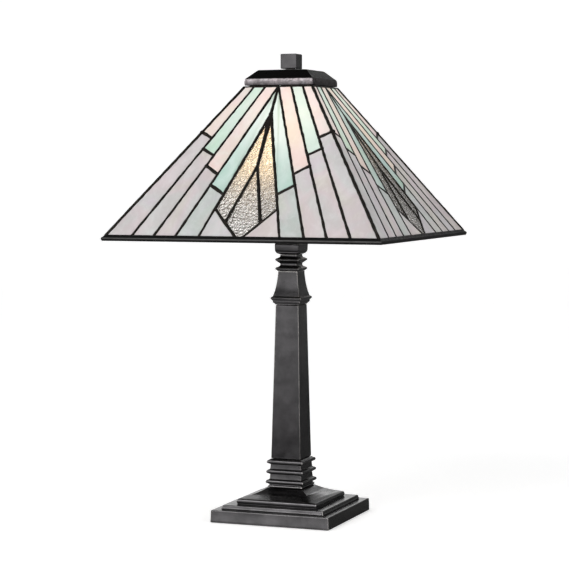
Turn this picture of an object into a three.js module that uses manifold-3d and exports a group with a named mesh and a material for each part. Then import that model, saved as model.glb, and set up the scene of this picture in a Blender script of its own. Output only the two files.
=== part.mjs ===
// A square mission-style stained glass table lamp, in millimetres, +Z up, with the front face towards -Y.
// The origin is on the surface that the lamp stands on, under the middle of its base.
//
// A hollow stepped base carries a column of four castings and a tapered shaft, all clamped on one lamp pipe.
// A two-light cluster stands on the pipe, and a rod rises from it to carry the shade: four leaded glass faces
// that meet at the corners, with a rim, a top frame and a spider. A pressed cap covers the shade's top opening,
// and a cube finial screwed on the rod holds the cap and the shade down.
import * as THREE from "three";
import { mergeVertices } from "three/addons/utils/BufferGeometryUtils.js";
import Module from "manifold-3d";

const wasm = await Module();
wasm.setup();

// ---- Driving dimensions ------------------------------------------------------------------------------------
const lampHeight = 656;
const gap = 0.3; // between pieces that touch
const roundSegments = 20; // round a turned piece

// Base: half widths of its square steps, and the heights of their upper faces.
const plinthHalf = 88;
const plinthTop = 18;
const middleStepHalf = 76.4;
const middleStepTop = 24;
const upperStepHalf = 59.8;
const upperStepTop = 31.2;
const baseTop = 43.9;
const baseRoof = 5; // thickness of the casting under the column
const castingFoot = 0.5; // the casting's rim stands this far above the surface, on its felt
const cavityHalf = 83;
const cordHoleRadius = 5;
const cordHoleHeight = 8.5;

// Column: heights where its pieces meet.
const collarTop = 84.9;
const shaftTop = 303.3;
const bellTop = 350.6;
const ringNeckTop = 374.2;
const capBlockTop = 392;
const shaftFootHalf = 22.1;
const shaftHeadHalf = 17.1;
const shaftWall = 2.5;

// Lamp pipe and shade rod, both M10.
const pipeRadius = 4.9;
const pipeBore = 3.4;
const pipeHole = 5.3;
const pipeFoot = 28;
const pipeHead = 410;
const rodFoot = 420;
const rodHead = 648;

// Two-light cluster: distance of each lampholder from the axis, and heights.
const hubFoot = 397.6;
const hubTop = 432;
const hubRadius = 13;
const armHeight = 416;
const armRadius = 5;
const holderOffset = 46;
const holderFoot = 436;
const shellFoot = 452.3;
const shellTop = 500;
const shellRadius = 19.6;
const knobHeight = 461;
const bulbRadius = 30;
const bulbCentre = 536;
const bulbNeck = 498.8;
const bulbWall = 0.8;

// Shade: a square pyramid cut off at the top, given by its outer faces.
const rimHalf = 200;
const rimHeight = 400.6;
const shadeTopHalf = 50.7;
const shadeTopHeight = 610.35;
const faceDepth = 5; // leads and glass together
const glassFace = 1.2; // depth of the glass below the outside of the leads
const glassThickness = 2.6;
const leadHalf = 1.8; // half the width of a lead between two pieces of glass
const cornerLead = 3.55; // width of the corner lead on each face
const faceStart = 7.5; // where the glass starts, up the slope from the rim

// Cap and finial.
const capHalf = 51;
const finialHalf = 11.9;
const finialFoot = 635;

// ---- Materials ---------------------------------------------------------------------------------------------
const metalOf = (color, roughness) => new THREE.MeshStandardMaterial({ color, roughness, metalness: 0.9 });
const plainOf = (color, roughness) => new THREE.MeshStandardMaterial({ color, roughness, metalness: 0 });
const materials = {
  bronze: metalOf(0x2a2a2c, 0.45),
  lead: metalOf(0x17130f, 0.5),
  steel: metalOf(0x8a8a88, 0.4),
  brass: metalOf(0xb08d4a, 0.35),
  phenolic: plainOf(0x1a1715, 0.5),
  porcelain: plainOf(0xe8e4da, 0.35),
  felt: plainOf(0x1c1f1d, 0.95),
  rubber: plainOf(0x141414, 0.8),
  opalGlass: plainOf(0xe6dfdc, 0.25),
  clearGlass: plainOf(0xcfc3a8, 0.15),
  bulbGlass: plainOf(0xfff1d6, 0.2),
};

// ---- Building blocks ---------------------------------------------------------------------------------------
const lamp = new THREE.Group();

function add(name, geometry, material, parent = lamp) {
  const mesh = new THREE.Mesh(geometry, materials[material]);
  mesh.name = name;
  parent.add(mesh);
  return mesh;
}

// An outline is a THREE.Path in (distance from the axis, height), going up its outside. It starts and ends on the
// axis, or closes on itself.
function outline(start, draw, divisions = 5) {
  const path = new THREE.Path();
  path.moveTo(...start);
  draw(path);
  return path.getPoints(divisions);
}

function turned(points, segments = roundSegments) {
  return new THREE.LatheGeometry(points, segments).rotateX(Math.PI / 2);
}

function squareTurned(points) {
  const corners = points.map((p) => new THREE.Vector2(p.x * Math.SQRT2, p.y));
  return new THREE.LatheGeometry(corners, 4, Math.PI / 4).rotateX(Math.PI / 2);
}

function rod(radius, from, to, segments = roundSegments) {
  return new THREE.CylinderGeometry(radius, radius, to - from, segments)
    .rotateX(Math.PI / 2)
    .translate(0, 0, (from + to) / 2);
}

function ring(outer, inner, from, to) {
  return turned(
    outline([inner, from], (p) => {
      p.lineTo(outer, from);
      p.lineTo(outer, to);
      p.lineTo(inner, to);
      p.lineTo(inner, from);
    }),
  );
}

function prism(points, from, to) {
  const shape = new THREE.Shape(points);
  return new THREE.ExtrudeGeometry(shape, { depth: to - from, bevelEnabled: false }).translate(0, 0, from);
}

function toSolid(geometry) {
  const bare = new THREE.BufferGeometry().setAttribute("position", geometry.getAttribute("position"));
  bare.setIndex(geometry.index);
  const merged = mergeVertices(bare, 1e-3);
  return new wasm.Manifold(
    new wasm.Mesh({
      numProp: 3,
      vertProperties: merged.attributes.position.array,
      triVerts: new Uint32Array(merged.index.array),
    }),
  );
}

function toGeometry(solid) {
  const mesh = solid.getMesh();
  return new THREE.BufferGeometry()
    .setAttribute("position", new THREE.BufferAttribute(mesh.vertProperties, 3))
    .setIndex(new THREE.BufferAttribute(mesh.triVerts, 1));
}

const cut = (geometry, ...tools) =>
  toGeometry(tools.reduce((left, tool) => left.subtract(toSolid(tool)), toSolid(geometry)));
const join = (...parts) => toGeometry(parts.map(toSolid).reduce((whole, part) => whole.add(part)));

const pipeDrill = (from, to) => rod(pipeHole, from - 1, to + 1);

// A hexagonal nut across flats 17, on the pipe.
function hexNut(from, to) {
  return cut(rod(17 / Math.sqrt(3), from, to, 6), pipeDrill(from, to));
}

// ---- Base --------------------------------------------------------------------------------------------------
function baseCasting() {
  const points = outline([0, baseTop - baseRoof], (p) => {
    // the hollow inside, down to the foot
    p.lineTo(24, baseTop - baseRoof);
    p.lineTo(54, 25);
    p.lineTo(54, middleStepTop - 4);
    p.lineTo(70, middleStepTop - 4);
    p.lineTo(70, plinthTop - 4);
    p.lineTo(cavityHalf, plinthTop - 4);
    p.lineTo(cavityHalf, castingFoot);
    // the plinth
    p.lineTo(plinthHalf - 0.5, castingFoot);
    p.lineTo(plinthHalf, castingFoot + 0.5);
    p.lineTo(plinthHalf - 0.5, plinthTop - 0.8);
    p.lineTo(plinthHalf - 1.3, plinthTop);
    // the middle step, with a rounded lip round its foot
    p.lineTo(middleStepHalf - 0.9, plinthTop);
    p.quadraticCurveTo(middleStepHalf + 0.9, plinthTop + 1.3, middleStepHalf - 0.9, plinthTop + 2.6);
    p.lineTo(middleStepHalf - 1.3, middleStepTop - 1);
    p.lineTo(middleStepHalf - 2.2, middleStepTop);
    // the upper step, with a rounded nose
    p.lineTo(upperStepHalf - 1.2, middleStepTop);
    p.quadraticCurveTo(upperStepHalf + 1.2, middleStepTop + 3.4, upperStepHalf - 1.2, upperStepTop - 0.8);
    p.lineTo(upperStepHalf - 2.8, upperStepTop);
    // the hollow-sided rise to the column
    p.quadraticCurveTo(38.5, 35.6, 26, baseTop);
    p.lineTo(0, baseTop);
  });
  const cordHole = new THREE.CylinderGeometry(cordHoleRadius, cordHoleRadius, 20, roundSegments).translate(
    0,
    plinthHalf,
    cordHoleHeight,
  );
  return cut(squareTurned(points), pipeDrill(30, baseTop), cordHole);
}

function squarePlate(half, from, to) {
  return new THREE.BoxGeometry(2 * half, 2 * half, to - from).translate(0, 0, (from + to) / 2);
}

// A flanged bush through the back of the plinth, where a cord would come out.
function cordGrommet() {
  const bush = turned(
    outline([2.6, -5.5], (p) => {
      p.lineTo(cordHoleRadius - gap, -5.5);
      p.lineTo(cordHoleRadius - gap, gap);
      p.lineTo(7, gap);
      p.lineTo(7, 1.4);
      p.quadraticCurveTo(7, 2.2, 6.2, 2.2);
      p.lineTo(3.2, 2.2);
      p.lineTo(2.6, 1.6);
      p.lineTo(2.6, -5.5);
    }, 2),
  );
  return bush.rotateX(-Math.PI / 2).translate(0, plinthHalf, cordHoleHeight);
}

add("base_casting", baseCasting(), "bronze");
add("base_weight", cut(squarePlate(66, 7.5, plinthTop - 4 - gap), rod(20, 0, 30)), "steel");
add("base_cover_plate", squarePlate(cavityHalf - 0.6, 2.3, 3.5), "steel");
add("base_felt_pad", squarePlate(cavityHalf - 0.6, 0, 2), "felt");
add("cord_grommet", cordGrommet(), "rubber");
const washerTop = baseTop - baseRoof - gap;
add("base_washer", ring(15, pipeHole, washerTop - 2, washerTop), "steel");
add("base_nut", hexNut(washerTop - 8.3, washerTop - 2 - gap), "steel");

// ---- Column ------------------------------------------------------------------------------------------------
// A rib with a half-round nose, on a wall at the given half width.
const ribNose = 2.6;
const ribReach = 4.4;
const ribRoot = 3.9;
function rib(path, half, height) {
  path.lineTo(half, height - ribRoot);
  path.absarc(half + ribReach - ribNose, height, ribNose, -Math.PI / 2, Math.PI / 2, false);
  path.lineTo(half, height + ribRoot);
}

function footCollar() {
  const foot = baseTop + gap;
  const hollowHalf = 19;
  const points = outline([0, collarTop - 4], (p) => {
    p.lineTo(hollowHalf, collarTop - 4);
    p.lineTo(hollowHalf, foot);
    p.lineTo(25.2, foot);
    p.quadraticCurveTo(26.8, foot + 1.5, 25.2, foot + 3);
    p.lineTo(24.5, foot + 3.2);
    rib(p, 23.9, 52.5);
    rib(p, 23.3, 66.9);
    rib(p, 22.8, 80.9);
    p.lineTo(0, collarTop);
  });
  return cut(squareTurned(points), pipeDrill(foot, collarTop));
}

function taperedShaft() {
  const foot = collarTop + gap;
  return squareTurned(
    outline([shaftFootHalf - shaftWall, foot], (p) => {
      p.lineTo(shaftFootHalf, foot);
      p.lineTo(shaftHeadHalf, shaftTop);
      p.lineTo(shaftHeadHalf - shaftWall, shaftTop);
      p.lineTo(shaftFootHalf - shaftWall, foot);
    }),
  );
}

function bellNeck() {
  const foot = shaftTop + gap;
  const points = outline([0, bellTop - 4], (p) => {
    p.lineTo(11, bellTop - 4);
    p.lineTo(11.6, 338);
    p.lineTo(14, 322);
    p.lineTo(14, foot);
    // a small rib, the ridge above it, and a step
    p.lineTo(17.6, foot);
    p.lineTo(18.4, 305.2);
    p.quadraticCurveTo(21.3, 306.9, 20.3, 308.9);
    p.lineTo(21.8, 310.8);
    p.quadraticCurveTo(24.1, 312.7, 21.8, 314.7);
    p.lineTo(20.3, 315.2);
    p.lineTo(19.9, 316.9);
    p.quadraticCurveTo(16.4, 327, 14.7, 347);
    p.lineTo(14.7, bellTop);
    p.lineTo(0, bellTop);
  });
  return cut(squareTurned(points), pipeDrill(foot, bellTop));
}

// One ring of the neck: its rounded nose, and the hollow above it down to the groove.
const grooveHalf = 12.3;
function neckRing(path, height) {
  path.lineTo(16.2, height - 2.1);
  path.quadraticCurveTo(19.4, height, 16.4, height + 1.8);
  path.quadraticCurveTo(grooveHalf + 0.6, height + 3, grooveHalf, height + 4.8);
}

function ringNeck() {
  const foot = bellTop + gap;
  const points = outline([0, foot], (p) => {
    p.lineTo(14.7, foot);
    neckRing(p, 354.4);
    p.lineTo(grooveHalf, 361.6);
    neckRing(p, 367);
    p.lineTo(grooveHalf, ringNeckTop);
    p.lineTo(0, ringNeckTop);
  });
  return cut(squareTurned(points), pipeDrill(foot, ringNeckTop));
}

function capBlock() {
  const foot = ringNeckTop + gap;
  const points = outline([0, foot], (p) => {
    p.lineTo(grooveHalf, foot);
    p.quadraticCurveTo(17.9, 375.4, 18.4, 380.5);
    p.lineTo(18.7, 387);
    p.quadraticCurveTo(18.7, capBlockTop, 14, capBlockTop);
    p.lineTo(0, capBlockTop);
  });
  return cut(squareTurned(points), pipeDrill(foot, capBlockTop));
}

add("column_foot_collar", footCollar(), "bronze");
add("column_shaft", taperedShaft(), "bronze");
add("column_bell_neck", bellNeck(), "bronze");
add("column_ring_neck", ringNeck(), "bronze");
add("column_cap_block", capBlock(), "bronze");
add("lamp_pipe", ring(pipeRadius, pipeBore, pipeFoot, pipeHead), "steel");
add("column_lock_nut", hexNut(capBlockTop + gap, hubFoot - gap), "steel");

// ---- Two-light cluster -------------------------------------------------------------------------------------
function clusterHub() {
  const points = outline([0, hubFoot], (p) => {
    p.lineTo(hubRadius - 3, hubFoot);
    p.quadraticCurveTo(hubRadius, hubFoot, hubRadius, hubFoot + 4);
    p.lineTo(hubRadius, hubTop - 6);
    p.quadraticCurveTo(hubRadius, hubTop, hubRadius - 6, hubTop);
    p.lineTo(0, hubTop);
  }, 3);
  const portRadius = armRadius + gap;
  const port = new THREE.CylinderGeometry(portRadius, portRadius, 40, roundSegments).translate(0, 0, armHeight);
  const pipeSocket = rod(pipeHole, hubFoot - 1, armHeight);
  const rodSocket = rod(pipeHole, armHeight, hubTop + 1);
  return cut(turned(points), port, pipeSocket, rodSocket);
}

// A hollow arm that leaves the hub level and turns up into the lampholder.
function clusterArm() {
  const bend = 12;
  const route = new THREE.CurvePath();
  const start = new THREE.Vector3(0, -7.5, armHeight);
  const turnStart = new THREE.Vector3(0, -(holderOffset - bend), armHeight);
  const corner = new THREE.Vector3(0, -holderOffset, armHeight);
  const turnEnd = new THREE.Vector3(0, -holderOffset, armHeight + bend);
  const end = new THREE.Vector3(0, -holderOffset, holderFoot + 3);
  route.add(new THREE.LineCurve3(start, turnStart));
  route.add(new THREE.QuadraticBezierCurve3(turnStart, corner, turnEnd));
  route.add(new THREE.LineCurve3(turnEnd, end));
  const section = new THREE.Shape().absarc(0, 0, armRadius, 0, 2 * Math.PI);
  section.holes.push(new THREE.Path().absarc(0, 0, armRadius - 1.4, 0, 2 * Math.PI));
  return new THREE.ExtrudeGeometry(section, { extrudePath: route, steps: 11, curveSegments: 5 });
}

function holderCap() {
  return turned(
    outline([armRadius + gap, holderFoot], (p) => {
      p.lineTo(8, holderFoot);
      p.lineTo(8, holderFoot + 2.5);
      p.quadraticCurveTo(18.6, holderFoot + 3.5, shellRadius - 0.2, shellFoot - gap);
      p.lineTo(shellRadius - 1.8, shellFoot - gap);
      p.quadraticCurveTo(16, holderFoot + 6, armRadius + gap, holderFoot + 5.5);
      p.lineTo(armRadius + gap, holderFoot);
    }, 3),
  );
}

// The lampholder's shell, with a rolled bead near its mouth and a hole for the switch spindle.
function holderShell() {
  const inner = shellRadius - 1.3;
  const shell = turned(
    outline([inner, shellFoot], (p) => {
      p.lineTo(shellRadius, shellFoot);
      p.lineTo(shellRadius, shellTop - 9);
      p.quadraticCurveTo(shellRadius + 1.8, shellTop - 7, shellRadius, shellTop - 5);
      p.lineTo(shellRadius, shellTop);
      p.lineTo(inner, shellTop);
      p.lineTo(inner, shellFoot);
    }, 3),
  );
  const spindleHole = new THREE.CylinderGeometry(2.8, 2.8, 12, 12)
    .rotateZ(Math.PI / 2)
    .translate(shellRadius, 0, knobHeight);
  return cut(shell, spindleHole);
}

function holderLiner() {
  const outer = shellRadius - 1.3 - gap;
  return turned(
    outline([0, 466.5], (p) => {
      p.lineTo(outer, 466.5);
      p.lineTo(outer, shellTop - 1);
      p.lineTo(14, shellTop - 1);
      p.lineTo(14, 470);
      p.lineTo(0, 470);
    }),
  );
}

// The rotary switch's spindle with its flat key, made along +X.
function switchKnob() {
  const spindle = new THREE.CylinderGeometry(2.3, 2.3, 16, 12).rotateZ(Math.PI / 2).translate(16, 0, 0);
  const collar = new THREE.CylinderGeometry(3.6, 4.2, 3, 12).rotateZ(-Math.PI / 2).translate(24, 0, 0);
  const key = new THREE.Shape().absellipse(30, 0, 7, 6.5, 0, 2 * Math.PI);
  const keyDepth = 3.6;
  const blade = new THREE.ExtrudeGeometry(key, {
    depth: keyDepth - 1.2,
    bevelEnabled: true,
    bevelThickness: 0.6,
    bevelSize: 0.6,
    bevelSegments: 1,
    curveSegments: 8,
  }).translate(0, 0, 0.6 - keyDepth / 2);
  return join(spindle, collar, blade);
}

// The bulb's screw cap, with a rounded thread of 3.6 mm pitch shown as rings.
function bulbScrewCap() {
  const pitch = 3.6;
  const threads = 5;
  const threadFoot = 478.6;
  const points = outline([0, 472.8], (p) => {
    p.lineTo(4.6, 472.8);
    p.lineTo(5, 474.2);
    p.lineTo(11.8, threadFoot);
    for (let turn = 0; turn < threads; turn += 1) {
      const foot = threadFoot + turn * pitch;
      p.quadraticCurveTo(14.6, foot + pitch / 2, 12.3, foot + pitch);
    }
    p.lineTo(12.8, bulbNeck - gap);
    p.lineTo(0, bulbNeck - gap);
  }, 2);
  return turned(points, 16);
}

// The thin envelope, open at the neck, where it sits on the screw cap.
function bulbEnvelope() {
  const half = (size) => (path) => {
    path.bezierCurveTo(size.neck, bulbNeck + 9, size.globe - 3, bulbCentre - 24, size.globe, bulbCentre);
    path.absarc(0, bulbCentre, size.globe, 0, Math.PI / 2, false);
  };
  const outside = outline([13, bulbNeck], half({ neck: 14, globe: bulbRadius }), 3);
  const inside = outline([13 - bulbWall, bulbNeck], half({ neck: 13.2, globe: bulbRadius - bulbWall }), 3);
  return turned([...outside, ...inside.reverse(), outside[0]]);
}

add("cluster_hub", clusterHub(), "bronze");
for (const [side, turn] of [
  ["front", 0],
  ["rear", Math.PI],
]) {
  const arm = new THREE.Group();
  arm.rotation.z = turn;
  lamp.add(arm);
  add(`cluster_arm_${side}`, clusterArm(), "bronze", arm);
  const holder = new THREE.Group();
  holder.position.y = -holderOffset;
  arm.add(holder);
  add(`lampholder_cap_${side}`, holderCap(), "bronze", holder);
  add(`lampholder_shell_${side}`, holderShell(), "bronze", holder);
  add(`lampholder_liner_${side}`, holderLiner(), "porcelain", holder);
  add(`lampholder_contact_${side}`, rod(4, 470 + gap, 472.4), "brass", holder);
  add(`switch_knob_${side}`, switchKnob(), "phenolic", holder).position.z = knobHeight;
  add(`bulb_screw_cap_${side}`, bulbScrewCap(), "brass", holder);
  add(`bulb_glass_${side}`, bulbEnvelope(), "bulbGlass", holder);
}

// ---- Rod and shade rest ------------------------------------------------------------------------------------
add("shade_rod", rod(pipeRadius, rodFoot, rodHead), "steel");
add("shade_rest_nut", cut(rod(10, 596.5, 602.7), pipeDrill(596.5, 602.7)), "brass");
add("shade_rest_washer", ring(14, pipeHole, 603, 604.7), "brass");

// ---- Shade faces -------------------------------------------------------------------------------------------
// A face is drawn flat: x across it, y up its slope from the rim, and depth below its outer surface as -z.
const slopeRun = rimHalf - shadeTopHalf;
const slopeRise = shadeTopHeight - rimHeight;
const slopeLength = Math.hypot(slopeRun, slopeRise);
const slopeAngle = Math.atan2(slopeRise, slopeRun);

// A point on a straight line that runs up the face, given at the rim and at its upper end, at a share of the slope.
function upLine(rimX, topX, topShare = 1) {
  return (share) => new THREE.Vector2(rimX + (topX - rimX) * (share / topShare), share * slopeLength);
}
const kiteTip = 0.816; // shares of the slope
const kiteShoulder = 0.199;
const kiteFork = 0.472;
const kiteRibFoot = 0.112;
const cornerLine = upLine(rimHalf, shadeTopHalf);
const lines = [
  cornerLine,
  upLine(159, 35.4),
  upLine(126, 18.7),
  upLine(94, 0),
  upLine(59.5, 0, kiteTip),
];
// Where the pale lower glass meets the coloured upper glass: outer and inner end of each step, from the corner in.
const steps = [
  [0.695, 0.654],
  [0.584, 0.54],
  [0.473, 0.418],
  [0.35, 0.29],
];
const middle = (share) => new THREE.Vector2(0, share * slopeLength);
const shoulder = lines[4](kiteShoulder);
const ribFoot = shoulder.clone().multiplyScalar(kiteRibFoot / kiteShoulder);

// The glass pieces of the right half of a face, each with its corners anticlockwise.
function halfPieces() {
  const pieces = [];
  steps.forEach(([outer, inner], i) => {
    const isLast = i === steps.length - 1;
    const upperEnd = isLast ? [middle(kiteTip)] : [];
    const innerTop = isLast ? middle(1) : lines[i + 1](1);
    pieces.push([lines[i](outer), lines[i](1), innerTop, ...upperEnd, lines[i + 1](inner)].filter(isNew));
    pieces.push([lines[i](0), lines[i](outer), lines[i + 1](inner), lines[i + 1](0)]);
  });
  pieces.push([lines[4](0), shoulder, middle(0)]);
  pieces.push([shoulder, middle(kiteTip), middle(kiteFork), ribFoot]);
  return pieces;
}
const isNew = (point, index, all) => index === 0 || point.distanceTo(all[index - 1]) > 1e-6;

const mirrored = (points) => points.map((p) => new THREE.Vector2(-p.x, p.y)).reverse();

function facePieces() {
  const half = halfPieces();
  const kiteHeart = [middle(0), ribFoot, middle(kiteFork), mirrored([ribFoot])[0]];
  return [...half, ...half.map(mirrored), kiteHeart];
}

// A polygon with each side moved inwards by its own distance.
function inset(points, distances) {
  const anticlockwise = THREE.ShapeUtils.area(points) > 0 ? 1 : -1;
  const sides = points.map((a, i) => {
    const b = points[(i + 1) % points.length];
    const along = b.clone().sub(a).normalize();
    const inward = new THREE.Vector2(-along.y, along.x).multiplyScalar(anticlockwise);
    const distance = Array.isArray(distances) ? distances[i] : distances;
    return { from: a.clone().addScaledVector(inward, distance), along };
  });
  return sides.map((side, i) => {
    const previous = sides[(i + sides.length - 1) % sides.length];
    const apart = side.from.clone().sub(previous.from);
    const reach = apart.cross(side.along) / previous.along.cross(side.along);
    return previous.from.clone().addScaledVector(previous.along, reach);
  });
}

const faceEnd = slopeLength - gap;
const cornerGap = cornerLead + gap;
const seamHalf = 0.6; // half the space between the panes of glass, which a lead's web fills

// The three panes of a face: the two fields of strips, and the kite between them.
function fieldPane() {
  const startShare = faceStart / slopeLength;
  const endShare = faceEnd / slopeLength;
  const kiteFoot = shoulder.clone().multiplyScalar(startShare / kiteShoulder);
  return inset(
    [cornerLine(startShare), cornerLine(endShare), middle(endShare), middle(kiteTip), shoulder, kiteFoot],
    [cornerGap, 0, seamHalf, seamHalf, seamHalf, 0],
  );
}

function kitePane() {
  const startShare = faceStart / slopeLength;
  const kiteFoot = shoulder.clone().multiplyScalar(startShare / kiteShoulder);
  const right = [kiteFoot, shoulder];
  return inset(
    [...right, middle(kiteTip), ...mirrored(right)],
    [seamHalf, seamHalf, seamHalf, seamHalf, 0],
  );
}

const paneSolid = (points) => prism(points, -(glassFace + glassThickness), -glassFace);
const paneHollow = (points) => prism(inset(points, -gap), -(glassFace + glassThickness + gap), -(glassFace - gap));

// The leads of a face, cut out of a slab: every piece of glass shows through an opening of its own.
function leadLattice(panes) {
  const slab = inset(
    [cornerLine(0), cornerLine(1), ...mirrored([cornerLine(0), cornerLine(1)])],
    [cornerGap, gap, cornerGap, faceStart],
  );
  const windows = facePieces().map((points) =>
    prism(
      inset(points, points.map((a, i) => sideLead(a, points[(i + 1) % points.length]))),
      -faceDepth - 1,
      1,
    ),
  );
  return cut(prism(slab, -faceDepth, 0), ...windows, ...panes.map(paneHollow));
}

// Half the lead's width along one side of a piece: none at the corners, the rim and the top, which have their own
// leads, and a wide one down the kite's stem.
function sideLead(a, b) {
  const onCorner = (p) => Math.abs(Math.abs(p.x) - cornerLine(p.y / slopeLength).x) < 1e-3;
  const onRim = a.y < 1e-3 && b.y < 1e-3;
  const onTop = a.y > slopeLength - 1e-3 && b.y > slopeLength - 1e-3;
  if (onRim || onTop || (onCorner(a) && onCorner(b))) return -1;
  const isStem = Math.abs(a.x) + Math.abs(b.x) < 1e-3 && Math.max(a.y, b.y) < middle(kiteTip).y + 1e-3;
  return isStem ? 1.6 * leadHalf : leadHalf;
}

// The lead along a corner of the shade: a kite in section, from the outer edge to where the inner faces meet.
function cornerLeadBar() {
  const along = new THREE.Vector3(-slopeRun, slopeRun, slopeRise).normalize(); // up the front right corner
  const frontFace = new THREE.Vector3(0, slopeRun, slopeRise).normalize();
  const rightFace = new THREE.Vector3(-slopeRun, 0, slopeRise).normalize();
  const across = new THREE.Vector3(1, 0, 0);
  const sideOf = (upFace, level) => {
    const normal = level.clone().cross(upFace).normalize();
    const inFace = normal.clone().cross(along).normalize();
    return inFace.dot(level) > 0 ? inFace : inFace.negate();
  };
  const onFront = sideOf(frontFace, across.clone().negate());
  const onRight = sideOf(rightFace, new THREE.Vector3(0, 1, 0));
  const inwards = onFront.clone().add(onRight).normalize();
  const reach = cornerLead / inwards.dot(onFront);
  const basis = new THREE.Matrix4().makeBasis(inwards, along.clone().cross(inwards), along);
  const flat = (v, size) => {
    const local = v.clone().applyMatrix4(basis.clone().transpose());
    return new THREE.Vector2(local.x * size, local.y * size);
  };
  const section = [new THREE.Vector2(0, 0), flat(onFront, cornerLead), new THREE.Vector2(reach, 0)];
  section.push(flat(onRight, cornerLead));
  if (THREE.ShapeUtils.area(section) < 0) section.reverse();
  const long = Math.hypot(slopeRun, slopeRun, slopeRise) + 20;
  const bar = prism(section, -10, long).applyMatrix4(basis).translate(rimHalf, -rimHalf, rimHeight);
  const room = squarePlate(rimHalf, rimHeight + 6.2, shadeTopHeight - gap);
  return toGeometry(toSolid(bar).intersect(toSolid(room)));
}

const sides = ["front", "right", "rear", "left"];
sides.forEach((side, i) => {
  const turn = new THREE.Group();
  turn.rotation.z = (i * Math.PI) / 2;
  lamp.add(turn);
  const face = new THREE.Group();
  face.position.set(0, -rimHalf, rimHeight);
  face.rotation.x = slopeAngle;
  turn.add(face);
  const panes = [fieldPane(), mirrored(fieldPane()), kitePane()];
  add(`glass_field_${side}_b`, paneSolid(panes[0]), "opalGlass", face);
  add(`glass_field_${side}_a`, paneSolid(panes[1]), "opalGlass", face);
  add(`glass_kite_${side}`, paneSolid(panes[2]), "clearGlass", face);
  add(`lead_lattice_${side}`, leadLattice(panes), "lead", face);
  add(`corner_lead_${side}_${sides[(i + 1) % 4]}`, cornerLeadBar(), "lead", turn);
});

// ---- Rim, top frame and spider -----------------------------------------------------------------------------
function rimLead() {
  const foot = rimHeight - 3;
  return squareTurned(
    outline([rimHalf - 6, foot], (p) => {
      p.lineTo(rimHalf - 0.8, foot);
      p.lineTo(rimHalf - 0.2, rimHeight - 1.9);
      p.quadraticCurveTo(rimHalf + 1, rimHeight, rimHalf - 0.2, rimHeight + 1.9);
      p.lineTo(rimHalf - 1.4, rimHeight + 2.6);
      p.lineTo(rimHalf - 4, rimHeight + 5.6);
      p.lineTo(rimHalf - 7.8, rimHeight + 3);
      p.lineTo(rimHalf - 6, foot);
    }),
  );
}

function topFrame() {
  return squareTurned(
    outline([40, 604], (p) => {
      p.lineTo(44, 604);
      p.lineTo(44, 612);
      p.lineTo(40, 612);
      p.lineTo(40, 604);
    }),
  );
}

// A cross soldered inside the top frame, with a boss that the rod passes through.
function spider() {
  const reach = 2 * (40 - gap);
  const arm = new THREE.BoxGeometry(reach, 9, 2).translate(0, 0, 606);
  const crossArm = new THREE.BoxGeometry(9, reach, 2).translate(0, 0, 606);
  return cut(join(arm, crossArm, rod(14, 605, 608)), pipeDrill(605, 608));
}

add("rim_lead", rimLead(), "lead");
add("shade_top_frame", topFrame(), "brass");
add("shade_spider", spider(), "brass");

// ---- Cap and finial ----------------------------------------------------------------------------------------
function shadeCap() {
  const foot = shadeTopHeight + gap;
  const points = outline([0, 631.8], (p) => {
    p.lineTo(35.2, 629.6);
    p.lineTo(47.2, 618.6);
    p.lineTo(47.9, 617);
    p.lineTo(47.9, foot);
    p.lineTo(capHalf - 0.6, foot);
    p.quadraticCurveTo(capHalf + 0.4, 615.5, capHalf - 1, 619.6);
    p.quadraticCurveTo(capHalf - 1.4, 620.6, capHalf - 2.2, 621);
    p.lineTo(37.4, 631.3);
    p.quadraticCurveTo(36.4, 632.3, 35, 632.6);
    p.lineTo(0, finialFoot - gap);
  });
  return cut(squareTurned(points), pipeDrill(625, finialFoot));
}

const insertRadius = 7;
function finialCube() {
  const chamfer = 0.8;
  const cube = squareTurned(
    outline([0, finialFoot], (p) => {
      p.lineTo(finialHalf - chamfer, finialFoot);
      p.lineTo(finialHalf, finialFoot + chamfer);
      p.lineTo(finialHalf, lampHeight - chamfer);
      p.lineTo(finialHalf - chamfer, lampHeight);
      p.lineTo(0, lampHeight);
    }),
  );
  return cut(cube, rod(insertRadius + gap, finialFoot - 1, 649.4));
}

add("shade_cap", shadeCap(), "bronze");
add("finial_insert", ring(insertRadius, pipeHole, finialFoot + gap, 649), "brass");
add("finial", finialCube(), "bronze");

export default lamp;
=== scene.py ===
"""The looks of the stained glass table lamp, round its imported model.

Metres, +Z up, the front face of the shade towards -Y, the origin under the middle of the base.
"""

import math

import bmesh
import bpy
from mathutils import Matrix, Vector, noise


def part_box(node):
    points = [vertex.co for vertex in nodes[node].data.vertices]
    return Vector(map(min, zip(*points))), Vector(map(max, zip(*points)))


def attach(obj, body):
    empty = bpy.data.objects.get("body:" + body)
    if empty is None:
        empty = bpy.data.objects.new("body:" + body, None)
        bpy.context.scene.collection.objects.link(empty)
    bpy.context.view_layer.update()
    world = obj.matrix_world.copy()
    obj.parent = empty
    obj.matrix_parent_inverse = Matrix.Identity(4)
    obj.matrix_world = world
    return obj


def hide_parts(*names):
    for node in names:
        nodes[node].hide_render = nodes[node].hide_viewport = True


MM = 0.001
SIDES = ("front", "right", "rear", "left")
ENDS = {"front": -1, "rear": 1}

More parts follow.
